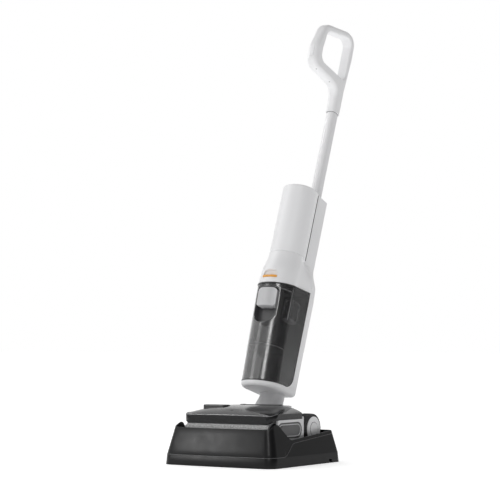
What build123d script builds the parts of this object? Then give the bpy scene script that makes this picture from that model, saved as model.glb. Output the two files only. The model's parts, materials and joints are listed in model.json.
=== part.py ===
"""Wet dry floor scrubber leaning back in its charging dock, one STEP file for each sub-part.

World frame: origin on the floor, 5 mm behind the centre of the dock's footprint; the machine faces
-Y, +Z up.
Body frame: x across, y backwards, z up along the tube; it leans back by LEAN about the X axis.
"""

import math
import os

from build123d import *

# ---------------------------------------------------------------- driving dimensions, mm
LEAN = 21.0                     # how far the body leans back, degrees
BODY_Y, BODY_Z = 75.6, 100.0    # origin of the body frame in the world
PIVOT_Y, PIVOT_Z = 56.0, 91.0   # tilt axis in the head, along X
RUNNING = 0.05                  # radial clearance of a running fit
GAP = 0.5                       # gap between neighbouring casings

DOCK_HALF, DOCK_FRONT, DOCK_REAR = 154.0, 162.0, 152.0
DOCK_FRONT_CORNER, DOCK_REAR_CORNER = 24.0, 18.0
DOCK_BOW = 6.0                  # how far the front edge bows forward at its middle
DOCK_SEAM_Z, DOCK_TOP_Z = 24.0, 99.0
DOCK_SEAM_INSET, DOCK_TOP_INSET = 2.1, 20.0
DOCK_WALL = 2.0
TRAY_TOP = 42.5

ROLLER_Y, ROLLER_Z, ROLLER_R = -87.5, 75.5, 32.0
ROLLER_HALF = 114.0
CORE_R = 23.0
WHEEL_Y, WHEEL_Z, WHEEL_R = 85.0, 79.5, 36.5
WHEEL_IN, WHEEL_OUT = 84.0, 115.0
AXLE_R = 4.0
HEAD_HALF = 127.5
SIDE_PLATE = 5.5                # thickness of the head's side plates
COVER_FRONT, COVER_REAR = -112.0, 16.0
COVER_WALL = 2.5

BODY_HALF = 50.0                # half width of the tank and the lower body
SPINE_HALF = 25.0               # half width of the upper spine
SPINE_BACK, SPINE_TOP = 24.5, 587.0
SLOPE = 0.155                   # the tank slides out along planes z = height + SLOPE * y
BASE_Z, RIM_Z = 78.0, 327.0     # heights of the plane under the tank and of its rim plane
WAIST_LOW, WAIST_TOP = 345.0, 398.0
TANK_REAR = -11.0
WALL = 2.5
CLEAN_R, CLEAN_Y, CLEAN_TOP = 45.0, -70.0, 580.0
TUBE_X, TUBE_Y, TUBE_CORNER = 12.0, 14.5, 9.0
TUBE_TOP = 868.0
HANDLE_HALF = 15.0
HANDLE_ROUNDING = 10.0
SLEEVE_BOTTOM = 836.0
BUTTON_GAP = 0.3

LEANING = Pos(0, BODY_Y, BODY_Z) * Rot(-LEAN, 0, 0)
_turn = math.radians(LEAN)
BARREL_Y = (PIVOT_Y - BODY_Y) * math.cos(_turn) - (PIVOT_Z - BODY_Z) * math.sin(_turn)
BARREL_Z = (PIVOT_Y - BODY_Y) * math.sin(_turn) + (PIVOT_Z - BODY_Z) * math.cos(_turn)


# ---------------------------------------------------------------- helpers
def rounded_outline(corners):
    """Closed face from (x, y, radius) corners, each corner rounded by its own radius."""
    starts, middles, ends = [], [], []
    for i, (x, y, radius) in enumerate(corners):
        corner = Vector(x, y)
        before = (Vector(*corners[i - 1][:2]) - corner).normalized()
        after = (Vector(*corners[(i + 1) % len(corners)][:2]) - corner).normalized()
        half = math.radians(before.get_angle(after)) / 2
        starts.append(corner + before * (radius / math.tan(half)))
        ends.append(corner + after * (radius / math.tan(half)))
        middles.append(corner + (before + after).normalized() * (radius / math.sin(half) - radius))
    edges = []
    for i, (_, _, radius) in enumerate(corners):
        if radius > 0:
            edges.append(ThreePointArc(starts[i], middles[i], ends[i]))
        following = starts[(i + 1) % len(corners)]
        if (following - ends[i]).length > 1e-6:
            edges.append(Line(ends[i], following))
    return upward(edges)


def upward(edges):
    """Face inside a closed outline, with its normal along +Z."""
    face = make_face(edges).face()
    return face if face.normal_at().Z > 0 else -face


def across(face, half):
    """A side-view face, drawn as (y, z), run across X by half to each side."""
    return extrude(Plane.YZ * face, amount=half, both=True)


def forward(face, start, stop):
    """A front-view face, drawn as (x, z), run forward from y = -start to y = -stop."""
    return extrude(Plane.XZ.offset(start) * face, amount=stop - start)


def x_cylinder(y, z, radius, x_from, x_to):
    """Cylinder along X at (y, z)."""
    middle = Pos((x_from + x_to) / 2, y, z)
    return middle * Rot(0, 90, 0) * Cylinder(radius, abs(x_to - x_from))


def x_ring(y, z, outer, inner, x_from, x_to):
    """Ring along X at (y, z)."""
    return x_cylinder(y, z, outer, x_from, x_to) - x_cylinder(y, z, inner, x_from, x_to)


def box(x_range, y_range, z_range):
    """Box between two corners, given as three (low, high) pairs."""
    low = [min(pair) for pair in (x_range, y_range, z_range)]
    high = [max(pair) for pair in (x_range, y_range, z_range)]
    middle = Pos(*[(a + b) / 2 for a, b in zip(low, high)])
    return middle * Box(*[b - a for a, b in zip(low, high)])


def pad(x_range, y_range, z_range, corner):
    """Box with its upright edges rounded."""
    block = box(x_range, y_range, z_range)
    return fillet(block.edges().filter_by(Axis.Z), corner)


def nose_section(z, half, front, back, corner):
    """Outline at height z: round nose at y = -front, straight sides, back edge at y = back."""
    nose = half - front
    cut = corner * (1 - math.sqrt(0.5))
    outline = make_face([
        Line((half, back - corner), (half, nose)),
        ThreePointArc((half, nose), (0, -front), (-half, nose)),
        Line((-half, nose), (-half, back - corner)),
        ThreePointArc((-half, back - corner), (cut - half, back - cut), (corner - half, back)),
        Line((corner - half, back), (half - corner, back)),
        ThreePointArc((half - corner, back), (half - cut, back - cut), (half, back - corner)),
    ])
    return Pos(0, 0, z) * outline


def waist_section(z, radius, centre, joint_x, joint_y, back_x, back, corner, inset=0.0):
    """Outline of the waist at height z: nose arc, side arcs to the parting line, narrow back."""
    nose = radius - inset
    joint = joint_x - inset
    rear_x = back_x - inset
    rear = back - inset
    turn = math.atan2(centre - joint_y, joint_x) / 2
    bulge = (nose * math.cos(turn) + joint) / 2 + 0.18 * (nose - joint)
    half_way = centre + (joint_y - centre) / 2
    cut = corner * (1 - math.sqrt(0.5))
    right = [
        ThreePointArc((nose, centre), (bulge, half_way), (joint, joint_y)),
        Line((joint, joint_y), (rear_x, rear - corner)),
        ThreePointArc((rear_x, rear - corner), (rear_x - cut, rear - cut), (rear_x - corner, rear)),
    ]
    left = [mirror(edge, Plane.YZ) for edge in right]
    nose_arc = ThreePointArc((nose, centre), (0, centre - nose), (-nose, centre))
    back_line = Line((rear_x - corner, rear), (corner - rear_x, rear))
    return Pos(0, 0, z) * make_face(right + left + [nose_arc, back_line])


# ---------------------------------------------------------------- dock
def dock_outline(z, inset):
    """Footprint of the dock at height z, drawn in by inset."""
    side = DOCK_HALF - inset
    rear = DOCK_REAR - inset
    front = DOCK_BOW - DOCK_FRONT + inset
    face = make_face([
        Line((side, front), (side, rear)),
        Line((side, rear), (-side, rear)),
        Line((-side, rear), (-side, front)),
        ThreePointArc((-side, front), (0, front - DOCK_BOW), (side, front)),
    ])
    face = fillet(face.vertices().sort_by(Axis.Y)[:2], DOCK_FRONT_CORNER - 0.4 * inset)
    return Pos(0, 0, z) * fillet(face.vertices().group_by(Axis.Y)[-1], DOCK_REAR_CORNER - 0.4 * inset)


def dock_volume(inset, low, high):
    """Dock body up to its rim height, drawn in by inset."""
    lower = loft([dock_outline(low, inset), dock_outline(DOCK_SEAM_Z, DOCK_SEAM_INSET + inset)])
    upper = loft([dock_outline(DOCK_SEAM_Z, DOCK_SEAM_INSET + inset),
                  dock_outline(high, DOCK_TOP_INSET + inset)])
    return lower + upper


def above_rim():
    """Everything above the dock's rim: low front, raised shoulders, low sides."""
    return across(rounded_outline([
        (-190, 84, 0), (-134, 88, 10), (-106, 101, 15), (-61, 60, 22),
        (190, 80.5, 0), (190, 200, 0), (-190, 200, 0),
    ]), 200)


def below_seam(shift=0.0):
    """Everything below the seam between the dock's skirt and its shroud."""
    return across(rounded_outline([
        (-190, DOCK_SEAM_Z + shift, 0), (-94, DOCK_SEAM_Z + shift, 34), (-54, 53 + shift, 24),
        (190, 72.5 + shift, 0), (190, -40, 0), (-190, -40, 0),
    ]), 200)


def dock_casing():
    """Outer wall of the dock, before it is parted into skirt and shroud."""
    return dock_volume(0, 0, DOCK_TOP_Z) - dock_volume(DOCK_WALL, 0, DOCK_TOP_Z) - above_rim()


def dock_skirt():
    outlet = box((DOCK_HALF - 11, DOCK_HALF + 9), (94, 106), (-1, 9))
    return (dock_casing() & below_seam()) - outlet


def dock_shroud():
    return dock_casing() - below_seam(GAP)


def dock_base_plate():
    plate = loft([dock_outline(0, DOCK_WALL + 0.3), dock_outline(3, DOCK_WALL + 0.5)])
    for x, y in foot_places():
        plate -= Pos(x, y, 0) * Cylinder(11, 3)
    posts = [Pos(x, y, 20.4) * Cylinder(6, 35) for x, y in foot_places()]
    for post in posts:
        plate += post
    return plate


def foot_places():
    return [(x, y) for x in (-118, 118) for y in (-104, 118)]


def dock_feet():
    return [Pos(x, y, 0.7) * Cylinder(10.6, 1.4) for x, y in foot_places()]


def dock_tray():
    """Floor that the wheels stand on, with a trough under the roller."""
    edge = DOCK_WALL + 0.4
    low, high = 38.0, TRAY_TOP
    slope = (DOCK_TOP_INSET - DOCK_SEAM_INSET) / (DOCK_TOP_Z - DOCK_SEAM_Z)
    insets = [DOCK_SEAM_INSET + edge + slope * (z - DOCK_SEAM_Z) for z in (low, high)]
    tray = loft([dock_outline(low, insets[0]), dock_outline(high, insets[1])])
    tray += pad((-120, 120), (-128, ROLLER_Y - 6), (high - 1, 62), 8)
    tray -= x_cylinder(ROLLER_Y, ROLLER_Z, ROLLER_R + 2.5, -130, 130)
    for x, y in foot_places():
        tray -= Pos(x, y, 36) * Cylinder(6.3, 8)
    for x in (-12, 12):
        tray -= Pos(x, 122, 40) * Cylinder(5.3, 10)
    return tray


def charging_contacts():
    return [Pos(x, 122, 41.5) * fillet(Cylinder(5, 7).edges().group_by(Axis.Z)[-1], 1.5) for x in (-12, 12)]


def dock_power_inlet():
    body = box((DOCK_HALF - 15, DOCK_HALF - 4.5), (95, 105), (9.5, 21))
    return body - box((DOCK_HALF - 11, DOCK_HALF), (97, 103), (12, 19))


# ---------------------------------------------------------------- floor head
def head_chassis():
    block = pad((-121.5, 121.5), (-50, 20), (50, 104), 6)
    block -= box((-118, 118), (-46, 16.5), (49, 100))
    block -= x_cylinder(ROLLER_Y, ROLLER_Z, ROLLER_R + 3, -130, 130)
    rear = pad((-76, 76), (8, 104), (50, 96), 8)
    rear -= box((-72, 72), (20, 100), (49, 62))
    well = pad((-46, 46), (20, 130), (62, 130), 6)
    wheel_boss = x_cylinder(WHEEL_Y, WHEEL_Z, 11, -81, 81)
    chassis = block + rear + wheel_boss - well
    for side in (-1, 1):
        ear = x_cylinder(PIVOT_Y, PIVOT_Z, 15, side * 39, side * 46.5)
        ear += box((side * 39, side * 46.5), (PIVOT_Y - 15, PIVOT_Y + 15), (61, PIVOT_Z))
        ear -= x_cylinder(PIVOT_Y, PIVOT_Z, 6, side * 30, side * 60)
        chassis += ear
        chassis -= x_cylinder(WHEEL_Y, WHEEL_Z, AXLE_R, side * 60, side * 100)
        chassis -= x_cylinder(PIVOT_Y, PIVOT_Z, 6, side * 30, side * 49)
    return chassis


def side_plate(side):
    """End plate of the head, which carries one end of the roller."""
    inner, outer = HEAD_HALF - SIDE_PLATE, HEAD_HALF - 0.2
    face = rounded_outline([
        (-100, 50, 20), (22, 50, 5), (22, 112, 2), (17, 112, 1), (17, 106.5, 0), (-92, 106.5, 4),
        (-92, 94, 4), (-103, 90, 4), (-103, 70, 10),
    ])
    plate = across(face, HEAD_HALF) & box((side * inner, side * outer), (-200, 200), (0, 200))
    stadium = Pos(side * outer, -40, 82) * Rot(0, 90, 0) * SlotOverall(104, 36, rotation=90)
    plate -= extrude(stadium, amount=2.2, both=True)
    return plate - x_cylinder(ROLLER_Y, ROLLER_Z, 5, side * 100, side * 140)


def side_caps():
    """Dark oval inlays in the side plates."""
    return [side_cap(side) for side in (-1, 1)]


def side_cap(side):
    """Oval inlay with a raised oval in the middle."""
    outer = HEAD_HALF - 0.2
    ring = Pos(side * (outer - 2.2), -40, 82) * Rot(0, 90, 0) * SlotOverall(103.4, 35.4, rotation=90)
    cap = extrude(ring, amount=side * 1.2)
    middle = Pos(side * (outer - 1.0), -46, 80) * Rot(0, 90, 0) * SlotOverall(70, 26, rotation=90)
    return cap + extrude(middle, amount=side * 0.9)


def roller_core():
    core = x_ring(ROLLER_Y, ROLLER_Z, CORE_R, CORE_R - 2.5, -ROLLER_HALF, ROLLER_HALF)
    for side in (-1, 1):
        core += x_ring(ROLLER_Y, ROLLER_Z, CORE_R, 5 + RUNNING, side * (ROLLER_HALF - 4), side * ROLLER_HALF)
    return core


def roller_fleece():
    return x_ring(ROLLER_Y, ROLLER_Z, ROLLER_R, CORE_R, -ROLLER_HALF, ROLLER_HALF)


def roller_pins():
    return [x_cylinder(ROLLER_Y, ROLLER_Z, 5, side * 112, side * (HEAD_HALF - 2.8)) for side in (-1, 1)]


def roller_motor():
    can = x_cylinder(ROLLER_Y, ROLLER_Z, 17, -100, 20)
    return can + x_cylinder(ROLLER_Y, ROLLER_Z, 9, -110, -99)


def scraper():
    bar = box((-116, 116), (-55.5, -50.5), (88, 101))
    return bar - x_cylinder(ROLLER_Y, ROLLER_Z, ROLLER_R + 0.6, -130, 130)


def spray_bar():
    bar = x_cylinder(-60, 114, 3.5, -100, 100)
    for x in range(-80, 81, 40):
        bar += Pos(x, -63, 112) * Rot(45, 0, 0) * Cylinder(1.6, 6)
    for x in (-90, 90):
        bar += box((x - 4, x + 4), (-60, -49), (104.2, 112.5))
    return bar


def cover_top(x):
    """Heights of the roller cover's crown at x: front edge, middle and rear."""
    fall = (abs(x) / HEAD_HALF) ** 4.5
    return 115.5 - 1.5 * fall, 134.5 - 14 * fall, 136.5 - 16 * fall


def cover_section(x, inset, bottom):
    front, middle, rear = [height - inset for height in cover_top(x)]
    low, back = COVER_FRONT + inset, 60.0
    crown = Spline((low, front), (-50, middle), (back, rear), tangents=((1, 0.52), (1, 0)))
    side = Line((back, rear), (back, bottom))
    under = Line((back, bottom), (low, bottom))
    lip = Line((low, bottom), (low, front))
    return Plane.YZ.offset(x) * upward([crown, side, under, lip])


def cover_dome(inset, bottom):
    stations = [-134, -122, -106, -84, -45, 0, 45, 84, 106, 122, 134]
    dome = loft([cover_section(x, inset, bottom) for x in stations])
    half = HEAD_HALF - inset
    plan = rounded_outline([
        (-half, COVER_FRONT + inset, 20), (half, COVER_FRONT + inset, 20), (half, COVER_REAR, 4),
        (92, COVER_REAR, 14), (76, 52, 10), (-76, 52, 10), (-92, COVER_REAR, 14), (-half, COVER_REAR, 4),
    ])
    return dome & extrude(plan, amount=200)


def neck_well():
    """Plan of the opening that the neck stands in, open to the rear."""
    return extrude(rounded_outline([(-47, 6, 26), (47, 6, 26), (47, 140, 0), (-47, 140, 0)]), amount=200)


def roller_cover():
    """Smoked dome over the roller; its lip is lower at the front than along the sides."""
    shell = cover_dome(0, 96) - cover_dome(COVER_WALL, 90)
    step = across(rounded_outline([(-95, 80, 0), (-95, 107, 8), (70, 107, 0), (70, 80, 0)]), 200)
    tab_hole = pad((-112.4, -44.6), (-54.4, -25.6), (100, 160), 10)
    shell -= x_cylinder(ROLLER_Y, ROLLER_Z, ROLLER_R + 0.4, -130, 130)
    return shell - step - neck_well() - tab_hole


def cover_latch():
    tab = pad((-112, -45), (-54, -26), (118, 138), 9.6)
    tab = fillet(tab.edges().group_by(Axis.Z)[-1], 3)
    return tab - pad((-104, -53), (-49, -31), (117, 133), 6)


def rear_covers():
    """Rear casings of the head, one each side of the neck well."""
    casing = pad((-79, 79), (53, 101), (96.3, 119), 10)
    casing = fillet(casing.edges().group_by(Axis.Z)[-1], 5)
    return casing - neck_well() - pad((-75.5, 75.5), (56, 98), (95, 116), 8)


def wheel_tyre(side):
    ring = x_ring(WHEEL_Y, WHEEL_Z, WHEEL_R, 30, side * WHEEL_IN, side * WHEEL_OUT)
    return fillet(ring.edges().filter_by(GeomType.CIRCLE).sort_by(SortBy.RADIUS)[-2:], 3)


def wheel_hub(side):
    hub = x_cylinder(WHEEL_Y, WHEEL_Z, 30, side * WHEEL_IN, side * (WHEEL_OUT - 2))
    hub -= x_ring(WHEEL_Y, WHEEL_Z, 27, 10, side * (WHEEL_IN - 1), side * (WHEEL_OUT - 6))
    return hub - x_cylinder(WHEEL_Y, WHEEL_Z, AXLE_R + RUNNING, side * 80, side * 112)


def wheel_cap(side):
    """White disc on the outside of a wheel, with a low raised centre."""
    disc = x_cylinder(WHEEL_Y, WHEEL_Z, 29.8, side * WHEEL_OUT, side * (WHEEL_OUT + 2))
    disc += x_cylinder(WHEEL_Y, WHEEL_Z, 28, side * (WHEEL_OUT - 2), side * WHEEL_OUT)
    disc = fillet(disc.edges().filter_by(GeomType.CIRCLE).sort_by(SortBy.RADIUS)[-2:], 0.9)
    boss = x_cylinder(WHEEL_Y, WHEEL_Z, 16, side * (WHEEL_OUT + 1), side * (WHEEL_OUT + 3.2))
    outer = boss.edges().filter_by(GeomType.CIRCLE)
    boss = fillet(outer.sort_by(Axis.X)[-1 if side > 0 else 0], 1.2)
    return disc + boss


def wheel_axles():
    return [x_cylinder(WHEEL_Y, WHEEL_Z, AXLE_R, side * 66, side * 111) for side in (-1, 1)]


def pivot_pins():
    return [x_cylinder(PIVOT_Y, PIVOT_Z, 6, side * 26, side * 47) for side in (-1, 1)]


# ---------------------------------------------------------------- neck
NECK_SHOULDER = 63.5    # where the neck's cone ends inside the lower base
NECK_R = 29.6
NECK_Y = -12.0      # swivel axis in the body frame
NECK_TOP = 68.0


def neck_shell():
    """Tapered neck from the tilt barrel up to the swivel; its bore carries the dirty water."""
    rings = [Pos(0, y, z) * Circle(r) for y, z, r in
             ((-21, 6, 36.5), (-19.5, 20, 34.6), (-17, 33, 32.4), (-13.8, 45, 30.7),
              (NECK_Y, 54, 29.9), (NECK_Y, NECK_SHOULDER, NECK_R))]
    cone = loft(rings)
    barrel = x_cylinder(BARREL_Y, BARREL_Z, 24, -38, 38)
    shank = extrude(Pos(0, -17, BARREL_Z) * Circle(24), amount=24)
    collar = Pos(0, NECK_Y, (50 + NECK_TOP) / 2) * Cylinder(24, NECK_TOP - 50)
    neck = cone + barrel + shank + collar
    neck -= Pos(0, NECK_Y, 42) * Cylinder(18, 64)
    for side in (-1, 1):
        neck -= x_cylinder(BARREL_Y, BARREL_Z, 6 + RUNNING, side * 25.5, side * 50)
    return LEANING * neck


def swivel_ring():
    return LEANING * (Pos(0, NECK_Y, NECK_TOP + 1.55) * (Cylinder(29, 3) - Cylinder(19, 3)))


# ---------------------------------------------------------------- body casings
def tilted_half_space(height, above):
    """Everything above or below the plane z = height + SLOPE * y."""
    reach = 200
    stop = 800 if above else -100
    return across(rounded_outline([
        (-reach, height - SLOPE * reach, 0), (reach, height + SLOPE * reach, 0),
        (reach, stop, 0), (-reach, stop, 0),
    ]), 100)


def lower_base():
    """Bowl under the dirty tank, turning on the neck's collar."""
    bowl = loft([nose_section(84, 50, 118, SPINE_BACK, 20), nose_section(40, 49.3, 115.4, SPINE_BACK - 0.4, 19)])
    bowl &= across(rounded_outline([(-200, 39, 0), (100, 70.5, 0), (100, 120, 0), (-200, 120, 0)]), 100)
    bowl = fillet(bowl.faces().sort_by(Axis.Z)[0].edges(), 10)
    bowl -= tilted_half_space(BASE_Z, above=True)
    bore_top = NECK_SHOULDER + 0.9
    bowl -= Pos(0, NECK_Y, bore_top - 20) * Cylinder(NECK_R + 0.8, 40)
    bowl -= Pos(0, NECK_Y, 60) * Cylinder(24 + 0.3, 20)
    return LEANING * (bowl - Pos(0, NECK_Y, NECK_TOP - 0.3 + 10) * Cylinder(29.5, 20))


def waist(inset, low=WAIST_LOW, high=WAIST_TOP):
    """Flowing body between the wide tank and the narrow spine."""
    rows = [
        (low, 48.8, -79.5, 49.2, -9, 46.5, SPINE_BACK, 17),
        (358, 47.8, -77.5, 46.5, -13, 41, SPINE_BACK, 15),
        (371, 46.4, -75.0, 41.5, -19, 34.5, SPINE_BACK, 12),
        (385, 45.4, -72.0, 33.5, -27, 28, SPINE_BACK, 8),
        (high, 45.0, -70.0, 27.0, -34, SPINE_HALF, SPINE_BACK, 6),
    ]
    return loft([waist_section(*row, inset=inset) for row in rows])


def behind_parting(shift=0.0):
    """Everything behind the line that parts the front housing from the spine."""
    edges = [
        Line((-11 + shift, 0), (-11 + shift, 335)),
        Spline((-11 + shift, 335), (-9.5 + shift, 350), (-19 + shift, 370), (-34 + shift, 412),
               tangents=((0, 1), (-0.25, 1))),
        Line((-34 + shift, 412), (-34 + shift, 700)),
        Line((-34 + shift, 700), (90, 700)),
        Line((90, 700), (90, 0)),
        Line((90, 0), (-11 + shift, 0)),
    ]
    return across(make_face(edges), 100)


def lower_body(inset):
    """Tank-wide body from the base to the waist."""
    return loft([
        nose_section(50, 50 - inset, 116.5 - inset, SPINE_BACK - inset, 20 - inset),
        nose_section(310, 50 - inset, 132 - inset, SPINE_BACK - inset, 20 - inset),
    ]) + loft([
        waist_section(310, 50, -82, 50, -11, 50, SPINE_BACK, 20, inset=inset),
        waist_section(WAIST_LOW, 48.8, -79.5, 49.2, -9, 46.5, SPINE_BACK, 17, inset=inset),
    ])


def front_housing():
    """White front shell above the dirty tank, which holds the suction motor."""
    outer = (lower_body(0) + waist(0)) - tilted_half_space(RIM_Z + GAP, above=False) - behind_parting(-0.6)
    inner = (lower_body(WALL) + waist(WALL)) - tilted_half_space(RIM_Z + 3, above=False) - behind_parting(-3)
    inner &= box((-90, 90), (-200, 90), (0, WAIST_TOP - 3))
    pocket = forward(rounded_outline([(-23, 317, 3), (23, 317, 3), (23, 343, 3), (-23, 343, 3)]), 112, 160)
    return LEANING * (outer - (inner - pocket) - thumb_scoop() - release_slot())


def thumb_scoop():
    """Finger recess above the release button."""
    face = rounded_outline([(-19, 325.4, 0), (19, 325.4, 0), (19, 340.5, 9), (-19, 340.5, 9)])
    return forward(face, 122.5, 150)


def release_slot():
    face = rounded_outline([(-20.2, 320.4, 1), (20.2, 320.4, 1), (20.2, 326, 1), (-20.2, 326, 1)])
    return forward(face, 114, 150)


def release_button():
    """Slim coloured bar that releases the clean tank."""
    face = rounded_outline([(-19.9, 320.7, 1), (19.9, 320.7, 1), (19.9, 325.7, 1), (-19.9, 325.7, 1)])
    bar = forward(face, 116.6, 150) & Pos(0, -81.6, 320) * Cylinder(50.6, 60)
    notch = Pos(0, -132.4, 325.7) * Rot(0, 90, 90) * Cylinder(1.2, 6)
    return LEANING * (bar - notch)


def spine_column(inset):
    """Narrow upper spine that holds the tube."""
    low = nose_box(WAIST_TOP, inset)
    high = nose_box(SPINE_TOP - inset, inset)
    return loft([low, high])


def nose_box(z, inset):
    half = SPINE_HALF - inset
    back = SPINE_BACK - inset
    front = -34.0
    return Pos(0, 0, z) * rounded_outline([(-half, front, 0), (half, front, 0), (half, back, 6), (-half, back, 6)])


def tank_corner():
    """Filling behind the dirty tank's rounded lower rear corner."""
    block = lower_body(0) & box((-90, 90), (-30, TANK_REAR + 1), (60, 112))
    return block - across(tank_side(-GAP), 100)


def spine_shell():
    """Rear shell from the base to the tube socket, with battery and electronics inside."""
    wide = (lower_body(0) + waist(0)) & behind_parting()
    wide_inner = (lower_body(WALL) + waist(WALL)) & behind_parting(WALL)
    wide_inner &= box((-90, 90), (-90, 90), (86, WAIST_TOP + 1))
    cradle = Pos(0, CLEAN_Y, 500) * Cylinder(CLEAN_R + 1.4, 210)
    inner_cradle = Pos(0, CLEAN_Y, 500) * Cylinder(CLEAN_R + 1.4 + WALL, 240)
    column = spine_column(0) - cradle
    hollow = (spine_column(WALL) & box((-90, 90), (-90, 90), (WAIST_TOP - 1, SPINE_TOP - 27))) - inner_cradle
    shell = wide + column - wide_inner - hollow + tank_corner()
    shell -= tilted_half_space(BASE_Z + 0.3, above=False)
    socket = extrude(Pos(0, 0, SPINE_TOP - 40) * RectangleRounded(2 * TUBE_X, 2 * TUBE_Y, TUBE_CORNER), amount=80)
    return LEANING * (shell - socket)


def clean_tank():
    """Clean water tank with a filler bung and a valve seat."""
    can = Pos(0, CLEAN_Y, (WAIST_TOP + GAP + CLEAN_TOP) / 2) * Cylinder(CLEAN_R, CLEAN_TOP - WAIST_TOP - GAP)
    can = fillet(can.edges().group_by(Axis.Z)[-1], 4)
    can = fillet(can.edges().group_by(Axis.Z)[0], 0.8)
    can -= Pos(0, CLEAN_Y, 490) * Cylinder(CLEAN_R - WALL, 172)
    return LEANING * (can - Pos(0, CLEAN_Y, 400) * Cylinder(8, 20))


def clean_tank_valve():
    valve = Pos(0, CLEAN_Y, 403.5) * Cylinder(8, 9) + Pos(0, CLEAN_Y, 410) * Cylinder(12, 4)
    return LEANING * (valve - Pos(0, CLEAN_Y, 402) * Cylinder(3, 12))


# ---------------------------------------------------------------- dirty tank
def tank_side(inset):
    """Side view of the dirty tank: flat bottom, tilted rim, rounded lower rear corner."""
    low = BASE_Z + GAP + inset
    rear = TANK_REAR - GAP - inset
    return rounded_outline([
        (-160, low - SLOPE * 160, 0), (rear, low + SLOPE * rear, 28 - inset),
        (rear, RIM_Z + SLOPE * rear, 0), (-160, RIM_Z - SLOPE * 160, 0),
    ])


def tank_volume(inset):
    hull = loft([nose_section(50, 50 - inset, 116 - inset, 20, 4), nose_section(340, 50 - inset, 133.5 - inset, 20, 4)])
    return hull & across(tank_side(inset), 100)


def grip_outline(inset):
    """Recess at the top front of the tank: straight top, round bottom."""
    half = 32.0 - inset
    return rounded_outline([
        (-half, 297 - inset, 8), (half, 297 - inset, 8),
        (half, 204 + inset, half - 1.5), (-half, 204 + inset, half - 1.5),
    ])


def tank_shell():
    shell = tank_volume(0) - tank_volume(2.2)
    shell -= forward(grip_outline(0), 90, 160)
    shell -= pipe_bore()
    return LEANING * (shell - lid_volume(0))


def lid_volume(inset):
    """Space of the lid inside the tank's rim."""
    slab = across(rounded_outline([
        (-160, RIM_Z - SLOPE * 160 - 9, 0), (90, RIM_Z + SLOPE * 90 - 9, 0),
        (90, RIM_Z + SLOPE * 90, 0), (-160, RIM_Z - SLOPE * 160, 0),
    ]), 100)
    return slab & tank_volume(2.2 + inset)


def tank_lid():
    """Lid under the front housing, with the air outlet in the middle."""
    lid = lid_volume(0.1)
    return LEANING * (lid - Pos(0, -60, 320) * Cylinder(17, 60))


def tank_seal():
    ring = Pos(0, -60, RIM_Z - 60 * SLOPE - 3.5) * Rot(math.degrees(math.atan(SLOPE)), 0, 0)
    return LEANING * (ring * (Cylinder(16.6, 5) - Cylinder(13, 5)))


def grip_recess():
    """Dark cup behind the latch, sunk into the tank's front."""
    cup = forward(grip_outline(0.1), 97, 160) & tank_volume(0.2)
    return LEANING * (cup - forward(grip_outline(1.8), 99, 160))


def tank_latch():
    """Square pad that is pushed in to free the dirty tank."""
    face = rounded_outline([(-27, 248, 9), (27, 248, 9), (27, 293.5, 9), (-27, 293.5, 9)])
    latch = forward(face, 104, 160) & tank_volume(0)
    return LEANING * (latch - forward(rounded_outline([(-24, 251, 6), (24, 251, 6), (24, 290, 6), (-24, 290, 6)]), 103, 113))


def strainer_bucket():
    """Inner basket that catches solids, open at the top, with a grid floor."""
    low = 151.0
    outer = loft([nose_section(low, 44.5, 92, -18, 4), nose_section(298, 44.5, 92, -18, 4)])
    inner = loft([nose_section(low + 2, 43, 90.5, -19.5, 3), nose_section(299, 43, 90.5, -19.5, 3)])
    holes = [Pos(x, y, low) * Cylinder(2.4, 8) for x in range(-30, 31, 12) for y in range(-78, -26, 12)]
    bucket = outer - inner - tilted_half_space(RIM_Z - 12, above=True)
    bucket -= extrude(Pos(0, PIPE_Y, 100) * RectangleRounded(27, 19, 5), amount=100)
    for hole in holes:
        bucket -= hole
    return LEANING * bucket


PIPE_Y = -36.0


def pipe_bore():
    """Rectangular channel of the intake pipe."""
    return extrude(Pos(0, PIPE_Y, 50) * RectangleRounded(22, 14, 4), amount=240)


def intake_pipe():
    """Pipe that brings the dirty water up from the neck to the top of the tank."""
    outer = extrude(Pos(0, PIPE_Y, 60) * RectangleRounded(26, 18, 5), amount=224)
    return LEANING * ((outer & tank_volume(2.25)) - pipe_bore())


FILTER_X, FILTER_Y, FILTER_Z = (14.5, 37.0), (-62.0, -26.0), (236.0, 288.0)


def filter_frame():
    """Light frame that holds the filter in the right of the tank."""
    frame = box(FILTER_X, FILTER_Y, (FILTER_Z[0], FILTER_Z[0] + 4))
    frame += box(FILTER_X, FILTER_Y, (FILTER_Z[1] - 4, FILTER_Z[1]))
    for x in (FILTER_X[0] + 1.2, FILTER_X[1] - 1.2):
        for y in (FILTER_Y[0] + 1.2, FILTER_Y[1] - 1.2):
            frame += box((x - 1.2, x + 1.2), (y - 1.2, y + 1.2), FILTER_Z)
    return LEANING * frame


def filter_cartridge():
    """Pleated filter between the frame's corner posts."""
    x_range = (FILTER_X[0] + 3, FILTER_X[1] - 3)
    y_range = (FILTER_Y[0] + 3, FILTER_Y[1] - 3)
    z_range = (FILTER_Z[0] + 4.2, FILTER_Z[1] - 4.2)
    block = box(x_range, y_range, z_range)
    for i in range(6):
        y = y_range[0] + 2.5 + 5 * i
        for x in x_range:
            block -= box((x - 1.4, x + 1.4), (y - 1, y + 1), (z_range[0] - 1, z_range[1] + 1))
    return LEANING * block


def level_float():
    return LEANING * (Pos(-26, -60, 240) * (Cylinder(9, 16) - Cylinder(3.06, 16)))


def float_rod():
    return LEANING * (Pos(-26, -60, 254.2) * Cylinder(3, 55) + Pos(-26, -60, 228) * Cylinder(6, 3))


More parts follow.
